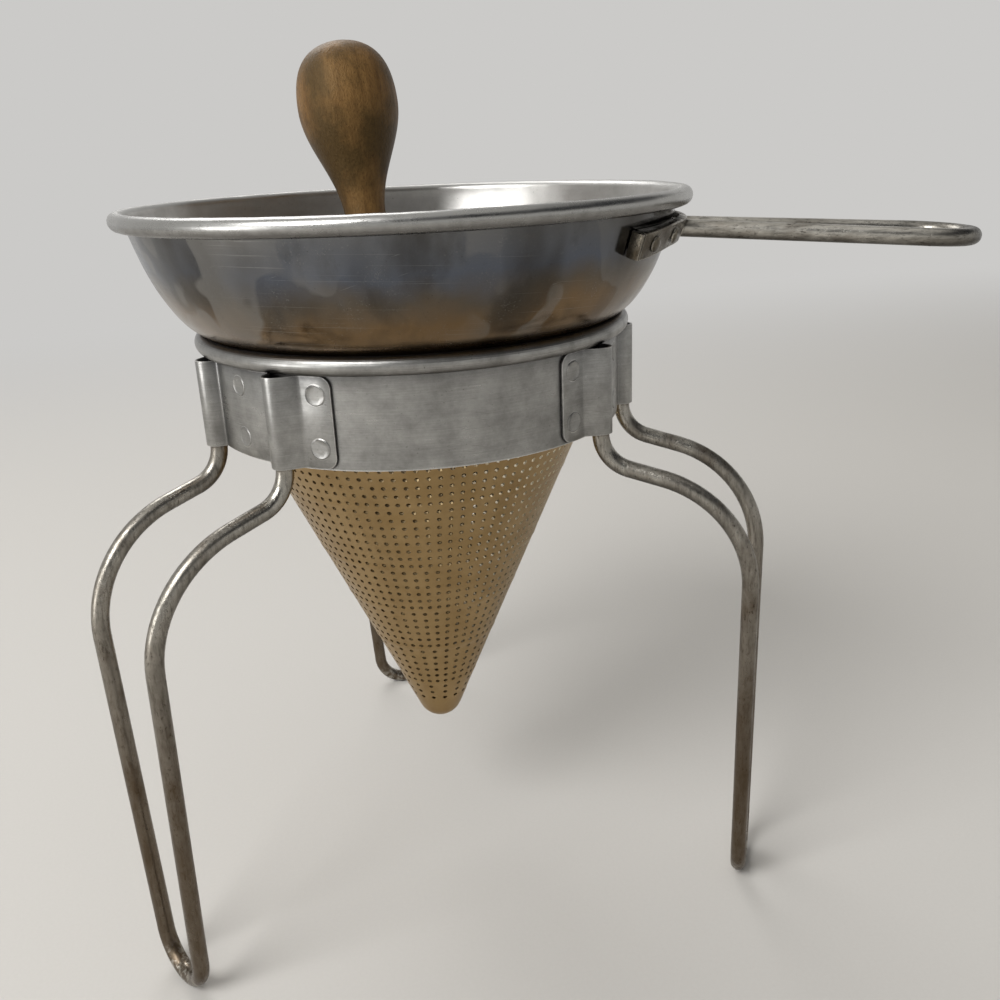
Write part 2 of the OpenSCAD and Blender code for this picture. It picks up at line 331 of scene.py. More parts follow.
class Wear:
    """Layers of wear on a surface. Every pattern's size is in millimetres."""

    def __init__(self, name: str) -> None:
        """Starts a material with an empty node tree."""
        self.material = bpy.data.materials.new(name)
        self.material.use_nodes = True
        self.tree = self.material.node_tree
        self.tree.nodes.clear()
        place = add(self.tree, "ShaderNodeTexCoord")
        self.place = place.outputs["Object"]
        self.facing = place.outputs["Normal"]

    def turned(self, x: float = 0.0, y: float = 0.0, z: float = 0.0) -> Socket:
        """The object's coordinates, turned about its axes by angles in degrees."""
        turn = tuple(math.radians(angle) for angle in (x, y, z))
        return add(self.tree, "ShaderNodeMapping", {"Vector": self.place, "Rotation": turn}).outputs[0]

    def noise(self, size_mm: float, detail: float = 4.0, rough: float = 0.6,
              stretch: tuple[float, float, float] = (1, 1, 1), place: Socket | None = None) -> Socket:
        """Noise whose grain has a real size.

        Args:
            size_mm: Size of the grain.
            detail: Octaves of finer grain.
            rough: Strength of the finer grain.
            stretch: Share of the frequency that each axis keeps.
            place: Coordinates, where they aren't the object's.

        Returns:
            A value around 0.5.
        """
        place = add(self.tree, "ShaderNodeMapping", {"Vector": place or self.place, "Scale": stretch}).outputs[0]
        return add(self.tree, "ShaderNodeTexNoise", {"Vector": place, "Scale": 1 / (size_mm * MM), "Detail": detail,
                                                     "Roughness": rough}).outputs["Fac"]

    def span(self, value: Socket, low: float, high: float, to_low: float = 0.0, to_high: float = 1.0) -> Socket:
        """Spreads a value from one range over another, and clamps it."""
        return add(self.tree, "ShaderNodeMapRange", {"Value": value, "From Min": low, "From Max": high,
                                                     "To Min": to_low, "To Max": to_high}).outputs[0]

    def both(self, kind: str, a: Socket, b: Socket | float) -> Socket:
        """Two values put together by an operation of the Math node."""
        return add(self.tree, "ShaderNodeMath", {0: a, 1: b}, operation=kind).outputs[0]

    def mix(self, share: Socket, a: Socket | Colour, b: Socket | Colour) -> Socket:
        """Two colours mixed by a share."""
        return add(self.tree, "ShaderNodeMix", {0: share, 6: a, 7: b}, data_type="RGBA").outputs[2]

    def dashes(self, length_mm: float, width_mm: float, place: Socket, rare: float = 0.66) -> Socket:
        """Thin level scratches that come in patches.

        Args:
            length_mm: Length of the scratches.
            width_mm: Their width.
            place: The coordinates that they are level in.
            rare: The noise value above which a scratch starts.

        Returns:
            1 in the scratches and 0 outside them.
        """
        flat = width_mm / length_mm
        line = self.span(self.noise(2 * width_mm, 1.0, 0.4, (flat, flat, 1), place), rare, rare + 0.04)
        patch = self.span(self.noise(1.2 * length_mm, 2.0), 0.42, 0.56)
        return self.both("MULTIPLY", line, patch)

    def crevices(self, reach_mm: float, share: float = 0.9, start: float = 0.86, full: float = 0.4) -> Socket:
        """Share of darkening where surfaces meet, from ambient occlusion: painted shade in the creases, partly grime at
        the seams.
        """
        shade = add(self.tree, "ShaderNodeAmbientOcclusion", {"Distance": reach_mm * MM}, samples=8)
        return self.span(shade.outputs["AO"], start, full, 0.0, share)

    def edges(self, reach_mm: float, share: float) -> Socket:
        """Share of bare metal along edges that stand out, which hands and cloths rub bright."""
        shade = add(self.tree, "ShaderNodeAmbientOcclusion", {"Distance": reach_mm * MM}, samples=8, inside=True)
        uneven = self.both("ADD", shade.outputs["AO"], self.span(self.noise(2, 3.0), 0.3, 0.7, -0.06, 0.06))
        return self.span(uneven, 0.88, 0.6, 0.0, share)

    def underside(self, start: float, end: float, share: float) -> Socket:
        """Share of painted shade on faces that look down, broken up by noise."""
        down = add(self.tree, "ShaderNodeSeparateXYZ", {"Vector": self.facing}).outputs["Z"]
        uneven = self.both("ADD", down, self.span(self.noise(4, 3.0), 0.3, 0.7, -0.12, 0.12))
        return self.span(uneven, start, end, 0.0, share)

    def bump(self, height: Socket, strength: Socket | float, depth_mm: float,
             below: Socket | None = None) -> Socket:
        """Bump on top of an earlier normal."""
        inputs = {"Height": height, "Strength": strength, "Distance": depth_mm * MM}
        if below is not None:
            inputs["Normal"] = below
        return add(self.tree, "ShaderNodeBump", inputs).outputs[0]

    def close(self, colour: Socket, rough: Socket, normal: Socket, metallic: float,
              sheen: Colour = (1, 1, 1, 1)) -> bpy.types.Material:
        """Joins the layers in the surface's shader."""
        shader = add(self.tree, "ShaderNodeBsdfPrincipled", {"Base Color": colour, "Metallic": metallic,
                                                             "Roughness": rough, "Normal": normal,
                                                             "Specular Tint": sheen})
        add(self.tree, "ShaderNodeOutputMaterial", {"Surface": shader.outputs[0]})
        return self.material


@dataclass(frozen=True)
class SatinSheet:
    """Drawn aluminium sheet with a dull grey lustre, fine level scratches, and brown grime at its seams that is partly
    painted shade; painted shade also lies in its hollows and on faces that look down.
    """

    name: str = "satin_drawn_aluminium"
    bright: str = "#adaca9"
    dull: str = "#8a8986"
    scratch: str = "#d2d1cd"
    worn: str = "#e2e0dc"
    scuff: str = "#66645f"
    painted_hollow_shade: str = "#4c4c4e"
    grime_and_shade: str = "#30271c"
    rough: float = 0.34
    edged: bool = True

    def build(self) -> bpy.types.Material:
        """Makes the material."""
        wear = Wear(self.name)
        cloud = wear.noise(13, 6.0, 0.7)
        streak = wear.noise(0.45, 3.0, 0.6, (0.03, 0.03, 1))
        colour = wear.mix(wear.span(cloud, 0.34, 0.66), linear(self.bright), linear(self.dull))
        colour = wear.mix(wear.span(streak, 0.35, 0.75, 0.0, 0.22), colour, linear(self.scuff))
        nicks = wear.both("MAXIMUM", wear.dashes(9, 0.1, wear.turned(2, 3), 0.7),
                          wear.dashes(5, 0.1, wear.turned(-14, 11), 0.73))
        colour = wear.mix(wear.both("MULTIPLY", nicks, 0.3), colour, linear(self.scratch))
        colour = wear.mix(wear.both("MULTIPLY", wear.dashes(7, 0.14, wear.turned(9, -12, 40), 0.72), 0.35),
                          colour, linear(self.scuff))
        specks = wear.span(wear.noise(1.4, 5.0, 0.7), 0.64, 0.72, 0.0, 0.5)
        # Dirt specks, and darkening at the seams that is partly grime and partly painted shade.
        dirt_and_crevice_shade = wear.both("MAXIMUM", specks, wear.crevices(1.5))
        colour = wear.mix(dirt_and_crevice_shade, colour, linear(self.grime_and_shade))
        # Painted shade on faces that look down.
        colour = wear.mix(wear.underside(-0.15, -0.8, 0.55), colour, linear(self.grime_and_shade))
        # Painted shade, blue-grey, in the wider hollows such as the channels' feet.
        colour = wear.mix(wear.crevices(6.0, 0.75, 0.97, 0.6), colour, linear(self.painted_hollow_shade))
        if self.edged:
            colour = wear.mix(wear.edges(0.7, 0.7), colour, linear(self.worn))
        rough = wear.both("ADD", wear.span(cloud, 0.3, 0.7, self.rough - 0.06, self.rough + 0.06),
                          wear.span(streak, 0.3, 0.7, -0.05, 0.05))
        rough = wear.both("ADD", rough, wear.both("MULTIPLY", dirt_and_crevice_shade, 0.3))
        normal = wear.bump(streak, 0.12, 0.05)
        normal = wear.bump(nicks, 0.15, 0.05, normal)
        normal = wear.bump(wear.noise(0.9, 3.0), 0.12, 0.06, normal)
        normal = wear.bump(wear.noise(16, 2.0), 0.14, 1.6, normal)
        return wear.close(colour, rough, normal, 1.0)


@dataclass(frozen=True)
class SpunBowl:
    """Spun aluminium: bright inside; polished outside, darkened by painted reflections; tan where the cone has aged,
    partly a painted reflection of a warm floor.
    """

    name: str = "polished_spun_aluminium"
    inside: str = "#cdcbc8"
    inside_dull: str = "#adaca8"
    rim: str = "#adaca9"
    # Painted reflections on the outside: blue-grey and dark ones of the room, a brown band of a warm floor, and pale
    # grey patches, a grey that scuffs share; the dark also colours specks.
    blue: str = "#5d626c"
    brown: str = "#786247"
    # The cone's tan is its aged colour, partly a painted reflection of a warm floor.
    cone: str = "#a48a61"
    cone_dull: str = "#8e7349"
    # Painted shade deep inside the bowl.
    painted_hollow_shade: str = "#453828"
    dark: str = "#35312b"
    pale_reflection_and_scuff: str = "#8c8a86"
    # Grime in the seams, with painted shade there and under the bead.
    grime_and_shade: str = "#2a2119"
    scratch: str = "#cfcecb"
    floor_z: float = 58.0
    rim_z: float = 284.0

    def levels(self, wear: Wear, height: Socket) -> Socket:
        """Colour of the outside by height, from the cone's tip to the rim, with painted reflections in bands."""
        level = wear.span(height, self.floor_z * MM, self.rim_z * MM)
        ramp = add(wear.tree, "ShaderNodeValToRGB", {"Fac": level})
        # Above the cone: a brown band and blue-grey bands, painted reflections of a warm floor and the room.
        stops = ((58, self.cone_dull), (72, self.cone), (205, self.cone), (236, self.brown), (249, self.brown),
                 (257, "#625a50"), (265, self.blue), (277, "#67686a"))
        steps = ramp.color_ramp.elements
        while len(steps) < len(stops):
            steps.new(0.5)
        for step, (z, tone) in zip(steps, stops):
            step.position = (z - self.floor_z) / (self.rim_z - self.floor_z)
            step.color = linear(tone)
        return ramp.outputs[0]

    def build(self) -> bpy.types.Material:
        """Makes the material."""
        wear = Wear(self.name)
        tree = wear.tree
        parts = add(tree, "ShaderNodeSeparateXYZ", {"Vector": wear.place}).outputs
        out = add(tree, "ShaderNodeCombineXYZ", {"X": parts["X"], "Y": parts["Y"]}).outputs[0]
        away = add(tree, "ShaderNodeVectorMath", {0: out}, operation="NORMALIZE").outputs[0]
        outward = add(tree, "ShaderNodeVectorMath", {0: away, 1: wear.facing}, operation="DOT_PRODUCT").outputs["Value"]
        outside = wear.span(outward, -0.02, 0.05)
        cloud = wear.noise(17, 6.0, 0.65)
        wander = wear.span(wear.noise(34, 4.0, 0.55), 0.3, 0.7, -5 * MM, 5 * MM)
        outer = self.levels(wear, wear.both("ADD", parts["Z"], wander))
        # Painted reflections: dark, upright patches on the bowl's wall.
        dark_reflection_patches = wear.span(wear.noise(30, 3.0, 0.5, (1, 1, 0.4)), 0.46, 0.62, 0.0, 0.6)
        walled = wear.span(parts["Z"], 236 * MM, 246 * MM)
        outer = wear.mix(wear.both("MULTIPLY", dark_reflection_patches, walled), outer, linear(self.dark))
        dark_reflection_streaks = wear.span(wear.noise(20, 5.0, 0.6, (1, 1, 0.5)), 0.5, 0.6, 0.0, 0.28)
        outer = wear.mix(wear.both("MULTIPLY", dark_reflection_streaks, walled), outer, linear(self.dark))
        # Painted reflections: pale grey patches on the bowl's wall.
        around = wear.turned(z=75)
        pale_reflection_and_scuff = wear.both("MULTIPLY", wear.span(wear.noise(30, 2.5, 0.5, (1, 1, 0.7), around), 0.5, 0.52),
                          wear.span(wear.noise(60, 1.0, place=around), 0.36, 0.56, 0.0, 0.45))
        outer = wear.mix(wear.both("MULTIPLY", pale_reflection_and_scuff, walled), outer, linear(self.pale_reflection_and_scuff))
        coned = wear.span(walled, 1, 0)
        mottle = wear.both("MULTIPLY", wear.span(wear.noise(12, 4.0, 0.6), 0.4, 0.7, 0.0, 0.6), coned)
        outer = wear.mix(mottle, outer, linear(self.cone_dull))
        inner = wear.mix(wear.span(cloud, 0.3, 0.7), linear(self.inside), linear(self.inside_dull))
        # Painted shade, darker deeper in the bowl where it narrows into the cone.
        inner = wear.mix(wear.span(parts["Z"], 232 * MM, 218 * MM), inner, linear(self.painted_hollow_shade))
        colour = wear.mix(outside, inner, outer)
        reach = add(tree, "ShaderNodeVectorMath", {0: out}, operation="LENGTH").outputs["Value"]
        bead = wear.both("MULTIPLY", wear.span(parts["Z"], 276.5 * MM, 277.8 * MM),
                         wear.span(reach, 101.9 * MM, 102.3 * MM))
        colour = wear.mix(bead, colour, linear(self.rim))
        # Painted shade on the underside of the rim's bead.
        bead_underside_shade = wear.both("MULTIPLY", bead, wear.underside(0.1, -0.6, 0.6))
        colour = wear.mix(bead_underside_shade, colour, linear(self.grime_and_shade))
        fine = wear.dashes(30, 0.09, wear.turned(2, -3), 0.72)
        steep = wear.dashes(6, 0.1, wear.turned(10, 14), 0.77)
        nicks = wear.both("MULTIPLY", wear.both("MAXIMUM", fine, steep), walled)
        colour = wear.mix(wear.both("MULTIPLY", nicks, 0.3), colour, linear(self.scratch))
        grain = wear.noise(0.7, 5.0, 0.7)
        scuff = wear.both("MULTIPLY", wear.span(grain, 0.56, 0.7), wear.span(wear.noise(14, 3.0), 0.45, 0.62, 0.06, 0.4))
        colour = wear.mix(wear.both("MULTIPLY", scuff, walled), colour, linear(self.pale_reflection_and_scuff))
        speck = wear.both("MULTIPLY", wear.span(wear.noise(1.1, 4.0, 0.7), 0.65, 0.71, 0.0, 0.5), walled)
        colour = wear.mix(speck, colour, linear(self.dark))
        # Darkening at the seams, partly grime and partly painted shade.
        seam_grime_and_shade = wear.both("MULTIPLY", wear.crevices(1.2, 0.7), walled)
        colour = wear.mix(seam_grime_and_shade, colour, linear(self.grime_and_shade))
        streak = wear.noise(0.5, 3.0, 0.6, (0.03, 0.03, 1))
        satin = wear.both("MAXIMUM", wear.span(coned, 0, 1, 0.0, 0.2), wear.span(outside, 1, 0, 0.0, 0.2))
        satin = wear.both("MAXIMUM", satin, wear.both("MULTIPLY", bead, 0.12))
        rough = wear.both("ADD", wear.span(cloud, 0.3, 0.7, 0.1, 0.22), satin)
        rough = wear.both("ADD", rough, wear.span(streak, 0.3, 0.7, -0.02, 0.04))
        rough = wear.both("ADD", rough, wear.both("MULTIPLY", seam_grime_and_shade, 0.3))
        rough = wear.both("ADD", rough, wear.both("MULTIPLY", scuff, 0.35))
        normal = wear.bump(streak, 0.08, 0.05)
        normal = wear.bump(grain, 0.1, 0.05, normal)
        normal = wear.bump(nicks, 0.2, 0.05, normal)
        normal = wear.bump(wear.noise(0.8, 3.0), wear.both("MULTIPLY", bead, 0.25), 0.12, normal)
        normal = wear.bump(wear.noise(11, 1.0), 0.16, 0.9, normal)
        normal = wear.bump(wear.noise(34, 0.5), 0.32, 3.0, normal)
        return wear.close(colour, rough, normal, 1.0)


@dataclass(frozen=True)
class PunchedEdge:
    """Bare aluminium in the punched holes, with a painted highlight that brightens them toward +X."""

    name: str = "bare_punched_aluminium"
    bright: str = "#a08c68"
    dull: str = "#57472f"
    painted_highlight: str = "#e2d9c4"

    def build(self) -> bpy.types.Material:
        """Makes the material."""
        wear = Wear(self.name)
        patch = wear.noise(3, 3.0)
        colour = wear.mix(wear.span(patch, 0.4, 0.65), linear(self.bright), linear(self.dull))
        # Painted highlight: the holes' walls grow brighter toward +X.
        across = add(wear.tree, "ShaderNodeSeparateXYZ", {"Vector": wear.place}).outputs["X"]
        painted_highlight = wear.span(wear.both("ADD", across, wear.span(patch, 0.3, 0.7, -9 * MM, 9 * MM)), 4 * MM, 30 * MM)
        colour = wear.mix(painted_highlight, colour, linear(self.painted_highlight))
        rough = wear.span(patch, 0.3, 0.7, 0.3, 0.5)
        return wear.close(colour, rough, wear.bump(wear.noise(0.4), 0.2, 0.05), 1.0)


@dataclass(frozen=True)
class OldWire:
    """Bright steel wire and strap, dulled, browned and pitted with age, but bare where it is rubbed, with painted shade
    on its undersides and, with grime, in its seams.

    Its streaks run along the wire: the stretch is small on the axis that lies along it.
    """

    name: str = "aged_bright_steel"
    bright: str = "#b5b1a8"
    dull: str = "#827c73"
    brown: str = "#503f2a"
    grime_and_shade: str = "#231d16"
    rubbed: str = "#b9b4aa"
    seams: float = 0.9
    seam_reach: float = 1.6
    pitted: float = 0.75
    rough: float = 0.27
    turn: float = 0.0
    stretch: tuple[float, float, float] = (1, 1, 0.16)
    foot_z: float = 12.0
    brown_z: float = 170.0
    dark_end: float = 1000.0

    def build(self) -> bpy.types.Material:
        """Makes the material."""
        wear = Wear(self.name)
        wear.place = wear.turned(z=self.turn)
        cloud = wear.noise(9, 5.0, 0.6, self.stretch)
        streak = wear.noise(1.2, 5.0, 0.65, self.stretch)
        patch = wear.noise(9, 6.0, 0.65, tuple(0.4 + 0.6 * s for s in self.stretch))
        pit = wear.span(wear.noise(0.9, 4.0, 0.7, tuple(0.3 + 0.7 * s for s in self.stretch)), 0.56, 0.66)
        pit = wear.both("MULTIPLY", pit, wear.span(patch, 0.36, 0.6, 0.25, 1.0))
        colour = wear.mix(wear.span(cloud, 0.3, 0.7), linear(self.bright), linear(self.dull))
        colour = wear.mix(wear.span(patch, 0.5, 0.75, 0.0, 0.7), colour, linear(self.brown))
        colour = wear.mix(wear.span(streak, 0.48, 0.72, 0.0, 0.55), colour, linear(self.grime_and_shade))
        colour = wear.mix(wear.both("MULTIPLY", pit, self.pitted), colour, linear(self.grime_and_shade))
        # Painted shade on faces that look down.
        colour = wear.mix(wear.underside(0.15, -0.75, 0.8), colour, linear(self.grime_and_shade))
        parts = add(wear.tree, "ShaderNodeSeparateXYZ", {"Vector": wear.place}).outputs
        shin = wear.span(wear.both("ADD", parts["Z"], wear.span(cloud, 0.3, 0.7, -20 * MM, 20 * MM)),
                         self.brown_z * MM, 0.4 * self.brown_z * MM, 0.0, 0.75)
        colour = wear.mix(shin, colour, linear(self.brown))
        low = wear.span(parts["Z"], self.foot_z * MM, 0.4 * self.foot_z * MM)
        worn = wear.both("MULTIPLY", low, wear.span(wear.noise(3, 4.0), 0.5, 0.56))
        colour = wear.mix(wear.both("MULTIPLY", worn, 0.7), colour, linear(self.rubbed))
        end = wear.span(wear.both("ADD", parts["X"], wear.span(patch, 0.3, 0.7, -6 * MM, 6 * MM)),
                        (self.dark_end - 30) * MM, self.dark_end * MM, 0.0, 0.92)
        colour = wear.mix(end, colour, linear(self.grime_and_shade))
        # Darkening at the seams, partly grime and partly painted shade.
        colour = wear.mix(wear.crevices(self.seam_reach, self.seams), colour, linear(self.grime_and_shade))
        colour = wear.mix(wear.edges(0.6, 0.7), colour, linear(self.rubbed))
        rough = wear.both("ADD", wear.span(cloud, 0.3, 0.7, self.rough - 0.07, self.rough + 0.1),
                          wear.span(patch, 0.45, 0.7, 0.0, 0.15))
        normal = wear.bump(streak, 0.15, 0.1)
        normal = wear.bump(pit, 0.5, -0.1, normal)
        normal = wear.bump(wear.noise(0.5, 3.0), 0.2, 0.08, normal)
        normal = wear.bump(wear.noise(5, 3.0), 0.2, 0.6, normal)
        return wear.close(colour, rough, normal, 1.0)


@dataclass(frozen=True)
class TurnedWood:
    """Hardwood, turned and then darkened by oil and hands, with fine pores along its grain."""

    lean: float
    turn: float
    name: str = "oiled_turned_hardwood"
    light: str = "#7d5f39"
    dark: str = "#5f4527"
    pore: str = "#2a1e10"
    smoked: str = "#3f321d"
    sheen: str = "#d0b083"

    def build(self) -> bpy.types.Material:
        """Makes the material."""
        wear = Wear(self.name)
        wear.place = wear.turned(z=-self.turn)
        wear.place = wear.turned(y=-self.lean)
        cloud = wear.noise(26, 4.0, 0.55)
        grain = wear.noise(2.6, 5.0, 0.6, (1, 1, 0.12))
        figure = wear.noise(0.8, 2.0, 0.6, (1, 1, 0.5))
        pore = wear.span(wear.noise(0.45, 2.0, 0.5, (1, 1, 0.1)), 0.62, 0.72)
        colour = wear.mix(wear.span(grain, 0.3, 0.7), linear(self.light), linear(self.dark))
        colour = wear.mix(wear.span(cloud, 0.42, 0.6, 0.0, 0.85), colour, linear(self.smoked))
        colour = wear.mix(wear.span(figure, 0.5, 0.7, 0.0, 0.4), colour, linear(self.pore))
        colour = wear.mix(wear.both("MULTIPLY", pore, 0.4), colour, linear(self.pore))
        rough = wear.span(grain, 0.3, 0.7, 0.44, 0.52)
        normal = wear.bump(figure, 0.8, 0.3)
        normal = wear.bump(pore, 0.25, -0.06, normal)
        normal = wear.bump(wear.noise(14, 2.0), 0.1, 1.2, normal)
        return wear.close(colour, rough, normal, 0.0, linear(self.sheen))


@dataclass
class StrainerShell:
    """The strainer: a punched cone, a neck, a bowl and a rolled rim, drawn from one sheet."""

    ring_bead: Point = (81.1 * MM, 235.7 * MM)
    nest_r: float = 3.6 * MM
    seat_slope: float = 22
    rim_bead: Point = (104.8 * MM, 281.2 * MM)
    rim_bead_r: float = 3.2 * MM
    sheet: float = 1.2 * MM
    wall_lean: float = 12
    half_angle: float = 23.5
    cone_top: float = 221 * MM
    neck_r: float = 77.5 * MM
    tip_r: float = 10 * MM
    hole_r: float = 0.92 * MM
    first_row: float = 72.4 * MM
    row_rise: float = 3.713 * MM
    tiers: tuple[tuple[int, int], ...] = ((3, 16), (6, 32), (6, 48), (6, 64), (8, 80), (8, 96))
    dimple: float = 0.16 * MM
    ripple: float = 0.5 * MM
    nick: float = 0.2 * MM

    @property
    def apex(self) -> float:
        """Height of the cone's sharp apex."""
        return self.cone_top - self.neck_r / math.tan(math.radians(self.half_angle))

    def cone_r(self, z: float) -> float:
        """Outer radius of the cone at a height."""
        return (z - self.apex) * math.tan(math.radians(self.half_angle))

    def wall_line(self) -> list[Point]:
        """Outer line from the cone's top, by the neck and the bowl, to the end of the rim's curl."""
        seat = math.radians(self.seat_slope)
        lean = math.radians(self.wall_lean)
        start = (self.ring_bead[0] - self.nest_r * math.sin(seat), self.ring_bead[1] + self.nest_r * math.cos(seat))
        end = (self.rim_bead[0] - self.rim_bead_r + self.sheet, self.rim_bead[1])
        rise = end[1] - start[1]
        low = (start[0] + 0.27 * rise * math.cos(seat), start[1] + 0.27 * rise * math.sin(seat))
        high = (end[0] - 0.54 * rise * math.sin(lean), end[1] - 0.54 * rise * math.cos(lean))
        neck = arc(self.ring_bead, self.nest_r, 180, 90 + self.seat_slope, 6)
        curl = arc(self.rim_bead, self.rim_bead_r - self.sheet, 180, -115, 16)
        return neck + curve(start, low, high, end, 24)[1:] + curl[1:]

    def tier(self, count: int, heights: list[float]) -> tuple[bpy.types.Object, list[float]]:
        """One band of the cone with its rows of holes.

        Args:
            count: Holes in a row.
            heights: Heights of the rows.

        Returns:
            The band, and the heights of its lower and upper edge.
        """
        half = 0.46 * self.row_rise
        low, high = heights[0] - half, heights[-1] + half
        columns = max(count, 32)
        clear_selection()
        bpy.ops.mesh.primitive_circle_add(vertices=columns, radius=self.cone_r(low), location=(0, 0, low))
        band = settle(bpy.context.object, "band")
        bpy.ops.object.mode_set(mode="EDIT")
        bpy.ops.mesh.select_mode(type="EDGE")
        bpy.ops.mesh.select_all(action="SELECT")
        ring_up([(self.cone_r(z), z) for z in heights + [high]], (self.cone_r(low), low))
        step = columns // count
        turn = 2 * math.pi / columns

        def holed(vertex: bmesh.types.BMVert) -> bool:
            """Tells whether a vertex is the middle of a hole."""
            if min(abs(vertex.co.z - z) for z in heights) > 1e-5:
                return False
            return step == 1 or round(math.atan2(vertex.co.y, vertex.co.x) / turn) % step == 0

        pick(band, holed)
        bpy.ops.mesh.bevel(offset=self.hole_r, offset_type="OFFSET", affect="VERTICES", segments=2,
                           profile=ROUND_PROFILE)
        pick(band, lambda face: len(face.verts) == 4 and face.calc_area() < self.hole_r ** 2, "FACE")
        bpy.ops.mesh.delete(type="FACE")
        pick(band, lambda v: v.is_boundary and low + 0.1 * half < v.co.z < high - 0.1 * half)
        k = 1 - self.dimple / self.cone_r((low + high) / 2)
        bpy.ops.transform.resize(value=(k, k, 1), center_override=(0, 0, 0))
        bpy.ops.object.mode_set(mode="OBJECT")
        return band, [low, high]

    def build(self, polished: bpy.types.Material, punched: bpy.types.Material) -> bpy.types.Object:
        """Makes the shell.

        Args:
            polished: Material of the sheet.
            punched: Material of the holes' walls.

        Returns:
            The finished piece.
        """
        bands, edges, z = [], [], self.first_row
        for rows, count in self.tiers:
            heights = [z + i * self.row_rise for i in range(rows)]
            z = heights[-1] + self.row_rise
            band, ends = self.tier(count, heights)
            bands.append(band)
            edges.append(ends)
            LOG.info("cone band of %d rows of %d holes", rows, count)
        shell = join(bands)
        bpy.ops.object.mode_set(mode="EDIT")
        for (_, upper), (lower, _) in zip(edges, edges[1:]):
            pick(shell, lambda e: min(abs(middle(e).z - upper), abs(middle(e).z - lower)) < 1e-6
                 and abs(e.verts[0].co.z - e.verts[1].co.z) < 1e-6, "EDGE")
            bpy.ops.mesh.bridge_edge_loops()
        self.close_tip(shell, edges[0][0])
        self.raise_wall(shell, edges[-1][1])
        bpy.ops.mesh.select_all(action="SELECT")
        bpy.ops.mesh.remove_doubles(threshold=1e-6)
        bpy.ops.mesh.normals_make_consistent(inside=False)
        settle(shell, "strainer_shell")
        face_out(shell, lambda place: radial(place) if place.z < self.rim_bead[1] - 3 * MM else Vector())
        shell.data.materials.append(polished)
        shell.data.materials.append(punched)
        self.dent(shell, "wall_ripple", 34 * MM, self.ripple, (243 * MM, 250 * MM, 270 * MM, 277 * MM))
        apply(shell, "SOLIDIFY", thickness=self.sheet, offset=-1.0, use_even_offset=True, material_offset_rim=1)
        self.dent(shell, "rim_nicks", 7 * MM, self.nick, (277 * MM, 279 * MM, 290 * MM, 291 * MM))
        smooth(shell, 40)
        return shell

    def dent(self, shell: bpy.types.Object, name: str, size: float, depth: float, levels: tuple[float, ...]) -> None:
        """Dents the sheet inward between some heights.

        Args:
            shell: The shell.
            name: Name of the pattern.
            size: Size of the dents.
            depth: The deepest dent.
            levels: Heights where the dents start, are full, start to fade, and end.
        """
        group = shell.vertex_groups.new(name=name)
        start, full, fading, end = levels
        for vertex in shell.data.vertices:
            z = vertex.co.z
            weight = min((z - start) / (full - start), (end - z) / (end - fading), 1.0)
            if weight > 0:
                group.add([vertex.index], weight, "REPLACE")
        pattern = bpy.data.textures.new(name, "CLOUDS")
        pattern.noise_scale = size
        apply(shell, "DISPLACE", texture=pattern, strength=depth, mid_level=1.0, vertex_group=name)
        shell.vertex_groups.clear()

    def close_tip(self, shell: bpy.types.Object, low: float) -> None:
        """Draws the lowest edge of the cone in to its rounded tip."""
        pick(shell, lambda e: all(abs(v.co.z - low) < 1e-6 for v in e.verts), "EDGE")
        centre = (0.0, self.apex + self.tip_r / math.sin(math.radians(self.half_angle)))
        line = [p for p in arc(centre, self.tip_r, -self.half_angle, -84, 7) if p[1] < low - 1e-5]
        ring_up(line, (self.cone_r(low), low))
        bpy.ops.mesh.edge_face_add()
        bpy.ops.mesh.poke(offset=0)

    def raise_wall(self, shell: bpy.types.Object, high: float) -> None:
        """Raises the cone's upper edge into the neck, the bowl and the rim's curl."""
        pick(shell, lambda e: all(abs(v.co.z - high) < 1e-6 for v in e.verts), "EDGE")
        bpy.ops.mesh.subdivide(number_cuts=2)
        line = [(self.cone_r(z), z) for z in (high + (self.cone_top - high) * k / 3 for k in (1, 2, 3))]
        ring_up(line[:1], (self.cone_r(high), high))
        bpy.ops.transform.tosphere(value=1.0)
        ring_up(line[1:] + self.wall_line(), line[0])


